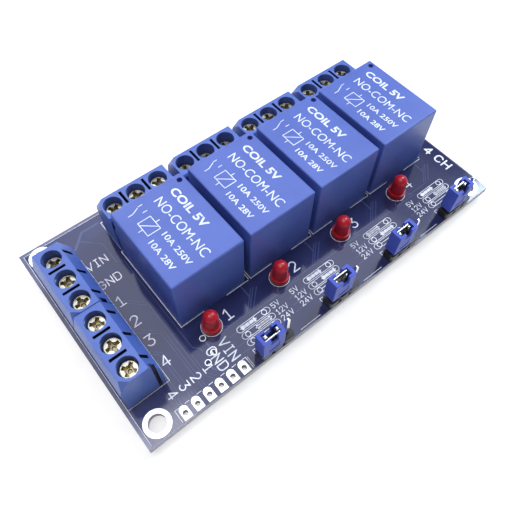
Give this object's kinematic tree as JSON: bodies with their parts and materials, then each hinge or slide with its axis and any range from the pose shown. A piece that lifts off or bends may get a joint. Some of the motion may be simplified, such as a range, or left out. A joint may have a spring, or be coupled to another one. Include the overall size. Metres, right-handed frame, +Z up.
{
  "type": "relay module board",
  "caption": "Circuit board with a row of sealed cube relays, screw terminal blocks, indicator lamps and pin headers with jumper caps.",
  "frame": {"origin": "below the centre of the board, level with the tips of the trimmed leads that it stands on", "axes": "+X along the long edge towards the end without terminals, +Y towards the load terminals, +Z up out of the component side"},
  "size_m": [0.0874, 0.0472, 0.0188],
  "materials": {
    "board_mask": "glossy dark blue solder mask over glass-fibre board",
    "tinned_copper": "tinned pads and rings",
    "tinned_leads": "tinned leads",
    "pin_metal": "bright plated pins",
    "relay_case": "satin blue moulded case",
    "terminal_plastic": "satin blue moulded housing",
    "zinc_screws": "yellowish zinc-plated screw",
    "nickel_clamp": "nickel-plated clamp",
    "red_lens": "red diffused lens",
    "black_plastic": "black moulded header",
    "jumper_plastic": "blue moulded cap",
    "clip_metal": "plated spring clip",
    "solder": "bright solder"
  },
  "bodies": {
    "board": {"pcb": "board_mask", "hole_rings": "tinned_copper", "edge_pads": "tinned_copper", "relay_1": "relay_case", "relay_2": "relay_case", "relay_3": "relay_case", "relay_4": "relay_case", "relay_pins_1": "tinned_leads", "relay_pins_2": "tinned_leads", "relay_pins_3": "tinned_leads", "relay_pins_4": "tinned_leads", "load_terminal_1": "terminal_plastic", "load_terminal_2": "terminal_plastic", "load_terminal_3": "terminal_plastic", "load_terminal_4": "terminal_plastic", "input_terminal_1": "terminal_plastic", "input_terminal_2": "terminal_plastic", "load_screws_1": "zinc_screws", "load_screws_2": "zinc_screws", "load_screws_3": "zinc_screws", "load_screws_4": "zinc_screws", "input_screws_1": "zinc_screws", "input_screws_2": "zinc_screws", "load_clamps_1": "nickel_clamp", "load_clamps_2": "nickel_clamp", "load_clamps_3": "nickel_clamp", "load_clamps_4": "nickel_clamp", "input_clamps_1": "nickel_clamp", "input_clamps_2": "nickel_clamp", "load_pins_1": "tinned_leads", "load_pins_2": "tinned_leads", "load_pins_3": "tinned_leads", "load_pins_4": "tinned_leads", "input_pins_1": "tinned_leads", "input_pins_2": "tinned_leads", "led_1": "red_lens", "led_2": "red_lens", "led_3": "red_lens", "led_4": "red_lens", "led_leads": "tinned_leads", "header_base_1": "black_plastic", "header_base_2": "black_plastic", "header_base_3": "black_plastic", "header_base_4": "black_plastic", "header_pins_1": "pin_metal", "header_pins_2": "pin_metal", "header_pins_3": "pin_metal", "header_pins_4": "pin_metal", "solder_joints": "solder"},
    "jumper_1": {"jumper_cap_1": "jumper_plastic", "jumper_clip_1": "clip_metal"},
    "jumper_2": {"jumper_cap_2": "jumper_plastic", "jumper_clip_2": "clip_metal"},
    "jumper_3": {"jumper_cap_3": "jumper_plastic", "jumper_clip_3": "clip_metal"},
    "jumper_4": {"jumper_cap_4": "jumper_plastic", "jumper_clip_4": "clip_metal"}
  },
  "joints": [
    {"name": "jumper_pull_1", "type": "slide", "parent": "board", "child": "jumper_1", "axis": [0, 0, 1], "range_m": [0, 0.0062]},
    {"name": "jumper_pull_2", "type": "slide", "parent": "board", "child": "jumper_2", "axis": [0, 0, 1], "range_m": [-0.0014, 0.0048]},
    {"name": "jumper_pull_3", "type": "slide", "parent": "board", "child": "jumper_3", "axis": [0, 0, 1], "range_m": [-0.0009, 0.0053]},
    {"name": "jumper_pull_4", "type": "slide", "parent": "board", "child": "jumper_4", "axis": [0, 0, 1], "range_m": [-0.0009, 0.0053]}
  ]
}
